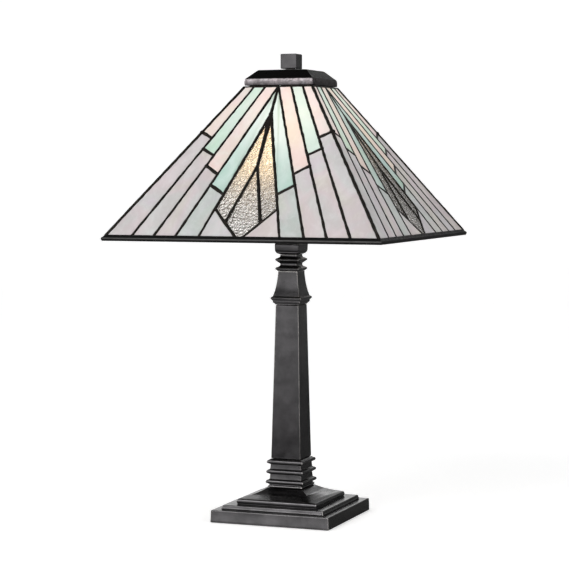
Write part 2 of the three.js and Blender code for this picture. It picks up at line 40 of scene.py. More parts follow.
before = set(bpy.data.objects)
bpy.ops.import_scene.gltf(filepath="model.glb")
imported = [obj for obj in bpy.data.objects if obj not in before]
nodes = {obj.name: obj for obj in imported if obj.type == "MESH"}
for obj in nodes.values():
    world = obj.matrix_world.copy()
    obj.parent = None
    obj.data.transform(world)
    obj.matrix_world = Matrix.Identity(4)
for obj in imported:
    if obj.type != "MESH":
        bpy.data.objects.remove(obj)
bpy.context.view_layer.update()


# ---- Shaders -----------------------------------------------------------------------------------------------
class Shader:
    """A material with one Principled shader, and short ways to add nodes to it."""

    def __init__(self, name, **sockets):
        self.material = bpy.data.materials.new(name)
        self.material.use_nodes = True
        self.tree = self.material.node_tree
        self.surface = self.tree.nodes["Principled BSDF"]
        for socket, value in sockets.items():
            self.set(socket.replace("_", " "), value)
        self.place = self.node("TexCoord").outputs["Object"]

    def node(self, kind, inputs=None, **settings):
        made = self.tree.nodes.new("ShaderNode" + kind)
        for name, value in settings.items():
            setattr(made, name, value)
        for socket, value in (inputs or {}).items():
            self.feed(made, socket, value)
        return made

    def feed(self, node, socket, value):
        if isinstance(value, bpy.types.NodeSocket):
            self.tree.links.new(value, node.inputs[socket])
        else:
            node.inputs[socket].default_value = value

    def set(self, socket, value):
        self.feed(self.surface, socket, value)

    def stretched(self, scale, place=None):
        """A place, the one on the object unless another is given, scaled differently along each axis."""
        return self.node("Mapping", {"Vector": place or self.place, "Scale": scale}).outputs[0]

    def noise(self, scale, detail=3, roughness=0.5, distortion=0, place=None):
        inputs = {
            "Vector": place or self.place,
            "Scale": scale,
            "Detail": detail,
            "Roughness": roughness,
            "Distortion": distortion,
        }
        return self.node("TexNoise", inputs).outputs["Fac"]

    def dimples(self, scale):
        inputs = {"Vector": self.place, "Scale": scale}
        return self.node("TexVoronoi", inputs, feature="SMOOTH_F1").outputs["Distance"]

    def maths(self, operation, *values):
        made = self.node("Math", operation=operation)
        for index, value in enumerate(values):
            self.feed(made, index, value)
        return made.outputs[0]

    def range(self, value, low, high, to_low, to_high):
        inputs = {"Value": value, "From Min": low, "From Max": high, "To Min": to_low, "To Max": to_high}
        return self.node("MapRange", inputs).outputs["Result"]

    def mix(self, share, first, second, blend="MIX"):
        made = self.node("Mix", data_type="RGBA", blend_type=blend)
        self.feed(made, 0, share)
        self.feed(made, 6, first)
        self.feed(made, 7, second)
        return made.outputs[2]

    def bump(self, height, distance):
        return self.node("Bump", {"Height": height, "Distance": distance, "Strength": 1.0}).outputs["Normal"]

    def edges(self, reach):
        """Near 1 along the piece's outer edges, where it wears and where a highlight is painted, and 0 on its
        flats and in its creases.
        """
        metal = self.node("AmbientOcclusion", {"Distance": reach}, samples=6, inside=True, only_local=True)
        on_flat, on_edge = 0.8, 0.5
        return self.range(metal.outputs["AO"], on_flat, on_edge, 0, 1)


def rgba(red, green, blue):
    return (red, green, blue, 1)


GRAZING_TINT = rgba(0.55, 0.55, 0.55)  # dulls the metals' reflections at a low angle


def patinated_bronze(name, worn_and_highlit_edges=True):
    """Metal under a near-black bronze finish, paler along the castings' edges: partly wear, partly a painted
    highlight.
    """
    s = Shader(name, Metallic=0.9, Specular_IOR_Level=0.6)
    cloud = s.noise(38, detail=4, roughness=0.6)
    speckle = s.noise(900, detail=2)
    patina = s.mix(s.range(cloud, 0.35, 0.7, 0, 1), rgba(0.021, 0.02025, 0.021), rgba(0.039, 0.0375, 0.039))
    if worn_and_highlit_edges:
        # Paler metal along the outer edges, mixed into the patina: partly wear, partly a painted highlight.
        wear_and_highlight = s.maths("MULTIPLY", s.edges(2.0 * MM), s.range(s.noise(60), 0.3, 0.7, 0.4, 1.0))
        patina = s.mix(wear_and_highlight, patina, rgba(0.26, 0.25, 0.238))
    s.set("Base Color", patina)
    s.set("Roughness", s.range(s.noise(55, detail=3), 0.3, 0.7, 0.16, 0.27))
    pits = s.maths("ADD", speckle, s.maths("MULTIPLY", s.noise(260, detail=3), 1.4))
    s.set("Normal", s.bump(pits, 0.01 * MM))
    return s.material


def cap_metal(name):
    """The pressed cap: black on its slopes, with a mottled grey painted on its upright band as a painted
    reflection.
    """
    s = Shader(name, Metallic=0.85, Specular_IOR_Level=0.25, Specular_Tint=GRAZING_TINT)
    # The upright band is painted paler than the slopes, chosen by which way the surface faces: a painted
    # reflection, mottled.
    facing = s.node("SeparateXYZ", {0: s.node("NewGeometry").outputs["Normal"]}).outputs["Z"]
    upright = s.range(s.maths("ABSOLUTE", facing), 0.25, 0.55, 1, 0)
    mottle = s.noise(170, detail=4, distortion=1.2)
    wear_and_sheen = s.maths("MULTIPLY", upright, s.range(mottle, 0.35, 0.6, 0.45, 1))
    grey = s.mix(s.noise(90), rgba(0.076, 0.076, 0.08), rgba(0.104, 0.086, 0.088))
    s.set("Base Color", s.mix(wear_and_sheen, rgba(0.0055, 0.0052, 0.005), grey))
    s.set("Roughness", s.range(s.noise(200, detail=4), 0.3, 0.7, 0.26, 0.42))
    s.set("Normal", s.bump(s.noise(520, detail=3), 0.25 * MM))
    return s.material


def rim_channel(name, height):
    """The rim: a dark channel whose nose, at the given height, carries a painted highlight of grey metal."""
    s = Shader(name, Metallic=0.75, Specular_IOR_Level=0.25, Specular_Tint=GRAZING_TINT)
    level = s.node("SeparateXYZ", {0: s.place}).outputs["Z"]
    waver = 0.5 * MM
    level = s.maths("ADD", level, s.range(s.noise(60, detail=4), 0, 1, -waver, waver))
    off_nose = s.maths("ABSOLUTE", s.maths("SUBTRACT", level, height))
    # A grey band along the nose at that height: a painted highlight.
    nose = s.range(off_nose, 0.9 * MM, 2.0 * MM, 1, 0)
    wear_and_sheen = s.maths("MULTIPLY", nose, s.range(s.noise(130, detail=4), 0.3, 0.6, 0.65, 1))
    s.set("Base Color", s.mix(wear_and_sheen, rgba(0.01, 0.01, 0.01), rgba(0.022, 0.0215, 0.021)))
    s.set("Roughness", s.range(s.noise(260, detail=3), 0.3, 0.7, 0.3, 0.48))
    s.set("Normal", s.bump(s.noise(420, detail=3), 0.2 * MM))
    return s.material


def black_solder(name):
    """Hand-run solder with a black patina: soft lumps, a few brown and grey spots."""
    s = Shader(name, Metallic=0.6, Specular_IOR_Level=0.18)
    spots = s.noise(420, detail=3)
    tint = s.mix(s.range(spots, 0.5, 0.75, 0, 1), rgba(0.006, 0.005, 0.004), rgba(0.022, 0.016, 0.011))
    wear_and_sheen = s.range(s.noise(150, detail=5), 0.64, 0.76, 0, 0.4)
    s.set("Base Color", s.mix(wear_and_sheen, tint, rgba(0.045, 0.042, 0.04)))
    s.set("Roughness", s.range(s.noise(200), 0.3, 0.7, 0.38, 0.6))
    lumps = s.maths("ADD", s.noise(330, detail=2), s.maths("MULTIPLY", s.noise(1200), 0.3))
    s.set("Normal", s.bump(lumps, 0.35 * MM))
    return s.material


def plain_metal(name, colour, roughness):
    """Plated or turned metal, faintly stained and brushed."""
    s = Shader(name, Metallic=1.0)
    stain = s.range(s.noise(60, detail=5), 0.4, 0.7, 0, 0.45)
    darker = rgba(*(0.6 * part for part in colour))
    s.set("Base Color", s.mix(stain, rgba(*colour), darker))
    s.set("Roughness", s.range(s.noise(140, detail=4), 0.3, 0.7, roughness - 0.06, roughness + 0.12))
    brushed = s.noise(90, detail=6, place=s.stretched((1, 1, 14)))
    s.set("Normal", s.bump(brushed, 0.02 * MM))
    return s.material


def moulded(name, colour, roughness, grain, grain_scale=700):
    """Moulded plastic, rubber or glazed ware: even in colour, with a faint skin."""
    s = Shader(name)
    patch = s.range(s.noise(45, detail=3), 0.35, 0.7, 0, 1)
    paler = rgba(*(min(1, 1.25 * part) for part in colour))
    s.set("Base Color", s.mix(patch, rgba(*colour), paler))
    s.set("Roughness", s.range(s.noise(160), 0.3, 0.7, roughness - 0.05, roughness + 0.06))
    s.set("Normal", s.bump(s.noise(grain_scale, detail=3), grain))
    return s.material


def felt_cloth(name):
    """Pressed felt, dark and matt, with tangled fibres."""
    s = Shader(name, Roughness=0.95, Sheen_Weight=0.4, Sheen_Roughness=0.6)
    fibres = s.noise(1500, detail=6, roughness=0.75, distortion=1.5)
    s.set("Base Color", s.mix(fibres, rgba(0.012, 0.014, 0.013), rgba(0.05, 0.055, 0.05)))
    s.set("Normal", s.bump(fibres, 0.5 * MM))
    return s.material


GLOW_OFFSET = Vector((28, 0, 12)) * MM  # from a bulb's middle to the middle of the glow it casts on the glass


def lamp_glow(s, reach, power, offset=GLOW_OFFSET, outwards=0):
    """1 where the bulbs' light is strongest, falling with the distance from there.

    That place is off each bulb's middle by the offset, and further from the lamp's middle by outwards.
    """
    glows = []
    for end, sign in ENDS.items():
        low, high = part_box(f"bulb_glass_{end}")
        brightest = (Vector(low) + Vector(high)) / 2 + offset + Vector((0, sign * outwards, 0))
        distance = s.node("VectorMath", {0: s.place, 1: brightest}, operation="DISTANCE").outputs["Value"]
        share = s.maths("DIVIDE", distance, reach)
        glows.append(s.maths("DIVIDE", 1.0, s.maths("ADD", 1.0, s.maths("POWER", share, power))))
    return s.maths("MAXIMUM", *glows)


def towards_bulbs(s):
    """1 on the front and rear faces, which the bulbs stand close to, and 0 on the right and left ones."""
    parts = s.node("SeparateXYZ", {0: s.place}).outputs
    across, along = (s.maths("ABSOLUTE", parts[axis]) for axis in ("X", "Y"))
    blend = 10 * MM
    return s.range(s.maths("SUBTRACT", along, across), -blend, blend, 0, 1)


SHEEN_STOPS = (
    (0.32, (0.92, 0.96, 0.78)),
    (0.45, (0.97, 0.85, 0.92)),
    (0.56, (0.80, 0.93, 0.92)),
    (0.68, (0.86, 0.84, 0.98)),
)


def opal_glass(name):
    """Opalescent sheet glass: each piece has its own tint, streaks and faint iridescence. The bulbs' light
    through it is painted: a glow in its emission, and a paler wash on the green pieces near the bulbs.
    """
    s = Shader(name, Roughness=0.16, IOR=1.5, Coat_Weight=0.25, Coat_Roughness=0.06)
    tint = s.node("Attribute", attribute_name="tint").outputs["Color"]
    piece = s.node("Attribute", attribute_name="piece").outputs["Vector"]
    moved = s.node("VectorMath", {0: s.place, 1: piece}, operation="ADD").outputs["Vector"]
    long_way = s.stretched((1, 1, 0.32), moved)
    streak = s.noise(26, detail=4, roughness=0.55, distortion=1.3, place=long_way)
    wisp = s.noise(85, detail=5, roughness=0.6, distortion=2.2, place=long_way)
    milky = s.mix(s.range(streak, 0.42, 0.72, 0, 0.26), tint, rgba(0.86, 0.85, 0.85))
    milky = s.mix(s.range(wisp, 0.5, 0.75, 0, 0.12), milky, rgba(0.95, 0.95, 0.94))
    sheen = s.node("ValToRGB", {"Fac": s.noise(11, detail=2, distortion=0.8, place=moved)})
    ramp = sheen.color_ramp
    while len(ramp.elements) < len(SHEEN_STOPS):
        ramp.elements.new(0.5)
    for element, (position, colour) in zip(ramp.elements, SHEEN_STOPS, strict=True):
        element.position = position
        element.color = rgba(*colour)
    glass = s.mix(0.38, milky, s.mix(1.0, milky, sheen.outputs["Color"], "MULTIPLY"))
    near = lamp_glow(s, 0.064, 2.6)
    tint_parts = s.node("SeparateColor", {0: tint}).outputs
    greenness = s.maths("SUBTRACT", tint_parts[1], tint_parts[0])
    is_green = s.range(greenness, 0.08, 0.18, 0, 1)
    # Painted glow: the green pieces are painted paler near the bulbs, most on the front and rear faces.
    washed_by_painted_glow = s.maths("MULTIPLY", is_green, s.range(near, 0.1, 0.55, 0, 0.72))
    washed_by_painted_glow = s.maths("MULTIPLY", washed_by_painted_glow, s.range(towards_bulbs(s), 0, 1, 0.35, 1))
    glass = s.mix(washed_by_painted_glow, glass, rgba(0.80, 0.83, 0.79))
    s.set("Base Color", glass)
    # Painted glow: the emission stands for the bulbs' light shining through the glass.
    painted_glow_tint = s.mix(s.range(near, 0.2, 0.8, 0.1, 0.6), glass, rgba(0.9, 0.86, 0.78))
    warmth = s.mix(is_green, rgba(1.0, 0.86, 0.66), rgba(0.98, 0.97, 0.9))
    warm = s.mix(s.range(near, 0.15, 0.7, 0, 1), rgba(0.93, 0.93, 0.95), warmth)
    s.set("Emission Color", s.mix(1.0, painted_glow_tint, warm, "MULTIPLY"))
    s.set("Emission Strength", s.range(near, 0, 1, 0.02, 0.41))
    ripple = s.maths("ADD", s.noise(70, detail=2, place=moved), s.maths("MULTIPLY", wisp, 0.25))
    crinkle = s.noise(300, detail=3, distortion=1.5, place=long_way)
    rolled = s.maths("MULTIPLY", crinkle, s.range(is_green, 0, 1, 0.02, 0.75))
    s.set("Normal", s.bump(s.maths("ADD", ripple, rolled), 0.4 * MM))
    return s.material


def hammered_glass(name):
    """Clear glass rolled on a hammered table, so that it sparkles and hides what is behind it. Its right and
    left faces are painted darker as painted shade, and the bulbs' glow and glints are painted into its colour
    and emission.
    """
    s = Shader(name, Roughness=0.16, IOR=1.5, Transmission_Weight=1.0)
    relief = s.maths("ADD", s.dimples(330), s.maths("MULTIPLY", s.noise(420, detail=2), 0.5))
    near = lamp_glow(s, 0.088, 4.0, Vector((4, 0, 12)) * MM, 25 * MM)
    # Painted shade: the faces away from the bulbs are painted darker, and the glass near the bulbs is painted
    # amber as a painted glow.
    clear = s.mix(towards_bulbs(s), rgba(0.42, 0.415, 0.41), rgba(0.84, 0.82, 0.8))
    s.set("Base Color", s.mix(s.range(near, 0.15, 0.55, 0, 1), clear, rgba(0.8, 0.66, 0.48)))
    # Painted glints and glow: bright spots in the emission, strongest near the bulbs.
    glint_spots = s.range(s.noise(520, detail=2, distortion=1.2), 0.42, 0.62, 0, 1)
    s.set("Emission Color", s.mix(glint_spots, rgba(0.62, 0.42, 0.23), rgba(1.0, 0.9, 0.74)))
    glint = s.range(glint_spots, 0, 1, 0.13, 0.6)
    s.set("Emission Strength", s.maths("MULTIPLY", s.range(near, 0.06, 0.7, 0.05, 1), glint))
    s.set("Normal", s.bump(relief, 2.6 * MM))
    return s.material


def frosted_bulb(name):
    """A lit bulb's frosted glass, warm and a little uneven."""
    s = Shader(name, Roughness=0.35)
    s.set("Base Color", rgba(0.5, 0.44, 0.34))
    mottle = s.range(s.noise(120), 0.3, 0.7, 0.85, 1.0)
    s.set("Emission Color", s.mix(mottle, rgba(1.0, 0.66, 0.36), rgba(1.0, 0.8, 0.54)))
    s.set("Emission Strength", 0.95)
    s.set("Normal", s.bump(s.noise(900), 0.03 * MM))
    return s.material


bronze = patinated_bronze("bronze_patina")
thin_bronze = patinated_bronze("bronze_sheet", worn_and_highlit_edges=False)
cap_skin = cap_metal("cap_metal")
rim_metal = rim_channel("rim_channel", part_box("rim_lead")[0][2] + 3 * MM)
solder = black_solder("black_solder")
zinc = plain_metal("zinc_plate", (0.34, 0.33, 0.31), 0.38)
brass = plain_metal("brass", (0.52, 0.36, 0.14), 0.32)
cap_tin = plain_metal("screw_cap_tin", (0.68, 0.66, 0.6), 0.25)
porcelain = moulded("glazed_porcelain", (0.78, 0.76, 0.7), 0.14, 0.03 * MM, 300)
phenolic = moulded("phenolic", (0.018, 0.014, 0.012), 0.38, 0.03 * MM)
rubber = moulded("rubber", (0.016, 0.016, 0.017), 0.7, 0.08 * MM)
felt = felt_cloth("felt")
opal = opal_glass("opal_glass")
hammered = hammered_glass("hammered_glass")
bulb_skin = frosted_bulb("frosted_bulb")


# ---- CAD nodes that keep their shape -----------------------------------------------------------------------
def finish_node(name, material, bevel=0.35 * MM, segments=2):
    """Gives a CAD node its material, soft edges and smooth rounds."""
    node = nodes[name]
    node.data.materials.clear()
    node.data.materials.append(material)
    merge = node.modifiers.new("merge", "WELD")
    merge.merge_threshold = 0.002 * MM
    if bevel:
        soften = node.modifiers.new("soften", "BEVEL")
        soften.width = bevel
        soften.segments = segments
        soften.limit_method = "ANGLE"
        soften.angle_limit = math.radians(32)
        soften.harden_normals = False
    for face in node.data.polygons:
        face.use_smooth = True
    weighted = node.modifiers.new("normals", "WEIGHTED_NORMAL")
    weighted.keep_sharp = True


for name in ("column_foot_collar", "column_bell_neck", "column_ring_neck", "cluster_hub"):
    finish_node(name, bronze)
finish_node("base_casting", bronze, 1.0 * MM, 3)
finish_node("column_shaft", bronze, 1.4 * MM, 4)
finish_node("column_cap_block", bronze, 1.8 * MM, 4)
finish_node("finial", thin_bronze, 0.5 * MM, 3)
finish_node("shade_cap", cap_skin, 0.5 * MM, 3)
finish_node("rim_lead", rim_metal, 0.5 * MM)
for name in ("base_weight", "base_cover_plate", "base_washer", "base_nut", "lamp_pipe", "column_lock_nut"):
    finish_node(name, zinc)
finish_node("shade_rod", zinc, 0)
finish_node("shade_top_frame", solder, 0.2 * MM)
for name in ("shade_rest_nut", "shade_rest_washer", "shade_spider", "finial_insert"):
    finish_node(name, brass, 0.2 * MM)
finish_node("base_felt_pad", felt, 0.4 * MM)
finish_node("cord_grommet", rubber, 0.1 * MM)
for end in ENDS:
    for part in ("cluster_arm", "lampholder_cap", "lampholder_shell"):
        finish_node(f"{part}_{end}", thin_bronze, 0)
    finish_node(f"lampholder_liner_{end}", porcelain, 0.2 * MM)
    finish_node(f"lampholder_contact_{end}", brass, 0)
    finish_node(f"switch_knob_{end}", phenolic, 0.25 * MM)


# ---- Meshes ------------------------------------------------------------------------------------------------
def new_object(name, mesh, material, body, replaced):
    """Adds a piece that rides with a body and stands for the CAD nodes it replaces."""
    made = bpy.data.objects.new(name, mesh)
    bpy.context.scene.collection.objects.link(made)
    mesh.materials.append(material)
    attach(made, body)
    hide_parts(*replaced)


def smooth_mesh(name, points, faces):
    mesh = bpy.data.meshes.new(name)
    mesh.from_pydata([tuple(p) for p in points], [], faces)
    for face in mesh.polygons:
        face.use_smooth = True
    mesh.validate()
    return mesh


def ring(radius, height, centre=(0, 0), segments=64):
    """The points of a level circle."""
    angles = (2 * math.pi * step / segments for step in range(segments))
    return [(centre[0] + radius * math.cos(a), centre[1] + radius * math.sin(a), height) for a in angles]


def lathed(name, profile, centre, segments=64):
    """A closed turned solid. The profile goes up its outside, and its ends are capped flat."""
    points = []
    faces = []
    for radius, height in profile:
        points += ring(radius, height, centre, segments)
    for level in range(len(profile) - 1):
        low = level * segments
        for step in range(segments):
            after = (step + 1) % segments
            faces.append((low + step, low + after, low + segments + after, low + segments + step))
    faces.append(tuple(reversed(range(segments))))
    faces.append(tuple(range(len(points) - segments, len(points))))
    return smooth_mesh(name, points, faces)


def arc(centre, radius, start, end, steps):
    """Points of (distance from the axis, height) on a circle, between two angles in degrees."""
    angles = (math.radians(start + (end - start) * step / steps) for step in range(steps + 1))
    return [(centre[0] + radius * math.cos(a), centre[1] + radius * math.sin(a)) for a in angles]


# ---- Shade: its faces and pattern --------------------------------------------------------------------------
RIM_HALF = 200 * MM
RIM_HEIGHT = 400.6 * MM
TOP_HALF = 50.7 * MM
TOP_HEIGHT = 610.35 * MM
RUN = RIM_HALF - TOP_HALF
RISE = TOP_HEIGHT - RIM_HEIGHT
SLOPE = math.hypot(RUN, RISE)
TILT = math.atan2(RISE, RUN)

GLASS_FACE = 1.0 * MM  # below the outside of the leads
GLASS_THICKNESS = 2.5 * MM
GLASS_INSET = 0.5 * MM  # from the middle of a lead to the glass
LEAD_HALF = 2.4 * MM
LEAD_DEPTH = 2.25 * MM  # half the depth of a lead's oval section

KITE_TIP = 0.816  # shares of the slope, from the rim
KITE_SHOULDER = 0.199
KITE_FORK = 0.472
KITE_RIB_FOOT = 0.112
STEPS = ((0.695, 0.654), (0.584, 0.54), (0.473, 0.418), (0.35, 0.29))
LINE_ENDS = ((200, 50.7, 1), (159, 35.4, 1), (126, 18.7, 1), (94, 0, 1), (59.5, 0, KITE_TIP))


def on_line(index, share):
    """A point on one of the lines that run up a face, counted from the corner in."""
    rim_x, top_x, top_share = LINE_ENDS[index]
    return Vector(((rim_x + (top_x - rim_x) * share / top_share) * MM, share * SLOPE))


def on_middle(share):
    return Vector((0, share * SLOPE))


SHOULDER = on_line(4, KITE_SHOULDER)
RIB_FOOT = SHOULDER * (KITE_RIB_FOOT / KITE_SHOULDER)

CREAM = (0.74, 0.64, 0.60)
MINT = (0.53, 0.67, 0.55)
PEACH = (0.76, 0.63, 0.56)
TURQUOISE = (0.41, 0.575, 0.505)
UPPER = (CREAM, MINT, PEACH, TURQUOISE)
PALE = (0.558, 0.516, 0.51)
PALE_GREEN = (0.518, 0.528, 0.502)
LOWER = (PALE, PALE, PALE, PALE_GREEN)


def mirrored(points):
    return [Vector((-p.x, p.y)) for p in reversed(points)]


def half_pieces():
    """The opalescent pieces of the right half of a face: each piece's corners, and its tint."""
    pieces = []
    for i, (outer, inner) in enumerate(STEPS):
        last = i == len(STEPS) - 1
        step = [on_line(i, outer), on_line(i + 1, inner)]
        inner_top = [on_middle(KITE_TIP), on_middle(1)] if last else [on_line(i + 1, 1)]
        pieces.append(([*step, *inner_top, on_line(i, 1)], UPPER[i]))
        pieces.append(([on_line(i + 1, 0), on_line(i, 0), *step], LOWER[i]))
    pieces.append(([on_middle(0), on_line(4, 0), SHOULDER], PALE))
    return pieces


def kite_pieces():
    side = [SHOULDER, on_middle(KITE_TIP), on_middle(KITE_FORK), RIB_FOOT]
    heart = [on_middle(0), RIB_FOOT, on_middle(KITE_FORK), *mirrored([RIB_FOOT])]
    return [side, mirrored(side), heart]


def signed_area(points):
    return sum(a.cross(b) for a, b in zip(points, [*points[1:], points[0]], strict=True)) / 2


def inset(points, distance):
    """The polygon with its sides moved inwards, and its corners anticlockwise."""
    if signed_area(points) < 0:
        points = list(reversed(points))
    corners = []
    for i, corner in enumerate(points):
        before = (corner - points[i - 1]).normalized()
        after = (points[(i + 1) % len(points)] - corner).normalized()
        inward = Vector((-before.y, before.x)) + Vector((-after.y, after.x))
        inward /= max(0.2, inward.dot(Vector((-before.y, before.x))))
        corners.append(corner + inward * distance)
    return corners


def face_matrix(index):
    """From a face's flat drawing, x across, y up its slope and z out of it, to its place on the shade."""
    upright = Matrix.Translation((0, -RIM_HALF, RIM_HEIGHT)) @ Matrix.Rotation(TILT, 4, "X")
    return Matrix.Rotation(index * math.pi / 2, 4, "Z") @ upright


def slab(mesh, points, top, thickness, edge=0.4 * MM):
    """Adds a prism with softened edges to a bmesh, and returns its faces."""
    levels = ((edge, top), (0, top - edge), (0, top - thickness + edge), (edge, top - thickness))
    rings = []
    for shrink, height in levels:
        outline = inset(points, shrink) if shrink else points
        rings.append([mesh.verts.new((p.x, p.y, height)) for p in outline])
    faces = [mesh.faces.new(rings[0]), mesh.faces.new(list(reversed(rings[-1])))]
    for upper, lower in zip(rings, rings[1:], strict=False):
        for i in range(len(upper)):
            j = (i + 1) % len(upper)
            faces.append(mesh.faces.new((lower[i], lower[j], upper[j], upper[i])))
    return faces


def tinted(colour, seed):
    """The tint of one piece, a little lighter, darker or warmer than its neighbours."""
    shift = noise.noise_vector(Vector((seed * 7.31, seed * 3.17, seed * 1.93)))
    lighter = 1 + 0.05 * shift.x
    return rgba(*(min(0.95, part * (lighter + 0.025 * own)) for part, own in zip(colour, shift, strict=True)))


def opal_face(index, side):
    mesh = bmesh.new()
    tint = mesh.loops.layers.float_color.new("tint")
    piece = mesh.loops.layers.float_color.new("piece")
    half = half_pieces()
    both = half + [(mirrored(points), colour) for points, colour in half]
    for number, (points, colour) in enumerate(both):
        seed = 31 * index + number
        colour = tinted(colour, seed)
        offset = (seed * 0.37 % 1, seed * 0.61 % 1, seed * 0.83 % 1, 1)
        for face in slab(mesh, inset(points, GLASS_INSET), -GLASS_FACE, GLASS_THICKNESS):
            for loop in face.loops:
                loop[tint] = colour
                loop[piece] = offset
    mesh.transform(face_matrix(index))
    data = bpy.data.meshes.new(f"opal_glass_{side}")
    mesh.to_mesh(data)
    panes = (f"glass_field_{side}_a", f"glass_field_{side}_b")
    new_object(f"opal_glass_{side}", data, opal, "shade", panes)


OFF_CORNERS = 0.37  # shifts the grid, in parts of its spacing, so that no cut runs through a corner


def gridded_kite(spacing=2.2 * MM):
    """The kite's three panes, cut into a fine grid that the hammered relief can bend."""
    mesh = bmesh.new()
    for points in kite_pieces():
        slab(mesh, inset(points, GLASS_INSET), -GLASS_FACE, GLASS_THICKNESS)
    for axis in (0, 1):
        normal = Vector((1 - axis, axis, 0))
        reach = (on_line(4, 0).x, KITE_TIP * SLOPE)[axis]
        for line in range(-int(reach / spacing), int(reach / spacing) + 1):
            cut = normal * (line + OFF_CORNERS) * spacing
            everything = mesh.verts[:] + mesh.edges[:] + mesh.faces[:]
            bmesh.ops.bisect_plane(mesh, geom=everything, plane_co=cut, plane_no=normal)
    bmesh.ops.triangulate(mesh, faces=mesh.faces[:])
    bmesh.ops.subdivide_edges(mesh, edges=mesh.edges[:], cuts=1, use_grid_fill=True)
    return mesh


def hammered_face(index, side, flat):
    """The kite of one face, its outside and inside hammered into dimples of their own."""
    mesh = flat.copy()
    deep = 0.42 * MM
    dimple = 260  # dimples in a metre
    outside, inside = -GLASS_FACE, -(GLASS_FACE + GLASS_THICKNESS)
    for seed, (level, outwards) in enumerate(((outside, 1), (inside, -1))):
        for vert in mesh.verts:
            if abs(vert.co.z - level) < 1e-6:
                place = vert.co * dimple + Vector((13.1 * index, 7.7 * seed, 0))
                relief = noise.noise(place) + 0.5 * noise.noise(place * 2.1)
                vert.co.z += deep * (max(-1, min(1, relief)) - 0.6) * outwards
    for face in mesh.faces:
        face.smooth = True
    mesh.transform(face_matrix(index))
    data = bpy.data.meshes.new(f"hammered_glass_{side}")
    mesh.to_mesh(data)
    new_object(f"hammered_glass_{side}", data, hammered, "shade", (f"glass_kite_{side}",))


# ---- Shade: leads ------------------------------------------------------------------------------------------
BEAD_STEP = 3.2 * MM  # between two sections of a bead
BEAD_WAVE = 7 * MM  # over which a bead's width and course change
BEAD_WANDER = 0.4 * MM  # the most that a bead leaves its straight course


def bead(points, faces, start, end, half_widths, depth, seed, sides=12, across=None, out=None):
    """Adds an oval run of solder from start to end, its width and course a little uneven, with round ends."""
    across = across or Vector((-(end - start).y, (end - start).x, 0)).normalized()
    out = out or Vector((0, 0, 1))
    length = (end - start).length
    along = (end - start) / length
    count = max(3, round(length / BEAD_STEP))
    stations = [-1, -0.7, *range(count + 1), count + 0.7, count + 1]
    first = len(points)
    for station in stations:
        share = min(1, max(0, station / count))
        beyond = max(-station, station - count, 0)
        half = half_widths[0] + (half_widths[1] - half_widths[0]) * share
        taper = math.sqrt(max(0.0004, 1 - beyond * beyond))
        middle = start + (end - start) * share + along * half * math.copysign(beyond, station)
        sample = Vector((seed * 5.7, share * length / BEAD_WAVE, 0.5))
        half *= 1 + 0.24 * noise.noise(sample)
        middle = middle + across * (BEAD_WANDER * noise.noise(sample + Vector((0, 0, 9))))
        swell = 1 + 0.12 * noise.noise(sample + Vector((0, 4, 3)))
        for step in range(sides):
            angle = 2 * math.pi * step / sides
            sideways = across * (half * taper * math.cos(angle))
            outwards = out * (depth * swell * taper * math.sin(angle))
            points.append(middle + (sideways + outwards))
    for section in range(len(stations) - 1):
        low = first + section * sides
        for step in range(sides):
            after = (step + 1) % sides
            faces.append((low + step, low + sides + step, low + sides + after, low + after))
    faces.append(tuple(first + step for step in range(sides)))
    faces.append(tuple(reversed([len(points) - sides + step for step in range(sides)])))


def face_leads():
    """The runs of lead on a face: start, end, and half widths at the two ends."""
    rim_start = 0.022
    top_end = 0.995
    runs = []
    for sign in (1, -1):
        flip = Vector((sign, 1))

        def run(start, end, first=LEAD_HALF, last=LEAD_HALF, flip=flip):
            runs.append((start * flip, end * flip, first, last))

        for index in (1, 2, 3):
            run(on_line(index, rim_start), on_line(index, top_end), 1.05 * LEAD_HALF, 0.92 * LEAD_HALF)
        run(on_line(4, rim_start), on_line(4, KITE_TIP), LEAD_HALF, 1.15 * LEAD_HALF)
        for i, (outer, inner) in enumerate(STEPS):
            run(on_line(i, outer), on_line(i + 1, inner), 1.35 * LEAD_HALF, 1.15 * LEAD_HALF)
        run(SHOULDER, SHOULDER * 0.1, LEAD_HALF, LEAD_HALF)
        run(on_middle(KITE_FORK), RIB_FOOT, LEAD_HALF, 1.15 * LEAD_HALF)
    top_left, top_right = (Vector((sign * 0.95 * TOP_HALF, SLOPE - 1.3 * MM)) for sign in (-1, 1))
    runs.append((top_left, top_right, 1.5 * MM, 1.5 * MM))
    runs.append((on_middle(KITE_TIP), on_middle(top_end), 1.25 * LEAD_HALF, 1.1 * LEAD_HALF))
    runs.append((on_middle(KITE_TIP), on_middle(KITE_FORK), 1.7 * LEAD_HALF, 1.1 * LEAD_HALF))
    return runs


def lead_face(index, side):
    points = []
    faces = []
    level = -(GLASS_FACE + GLASS_THICKNESS / 2)
    for number, (start, end, first, last) in enumerate(face_leads()):
        start = Vector((start.x, start.y, level))
        end = Vector((end.x, end.y, level))
        bead(points, faces, start, end, (first, last), LEAD_DEPTH, 40 * index + number)
    data = smooth_mesh(f"leads_{side}", points, faces)
    data.transform(face_matrix(index))
    new_object(f"leads_{side}", data, solder, "shade", (f"lead_lattice_{side}",))


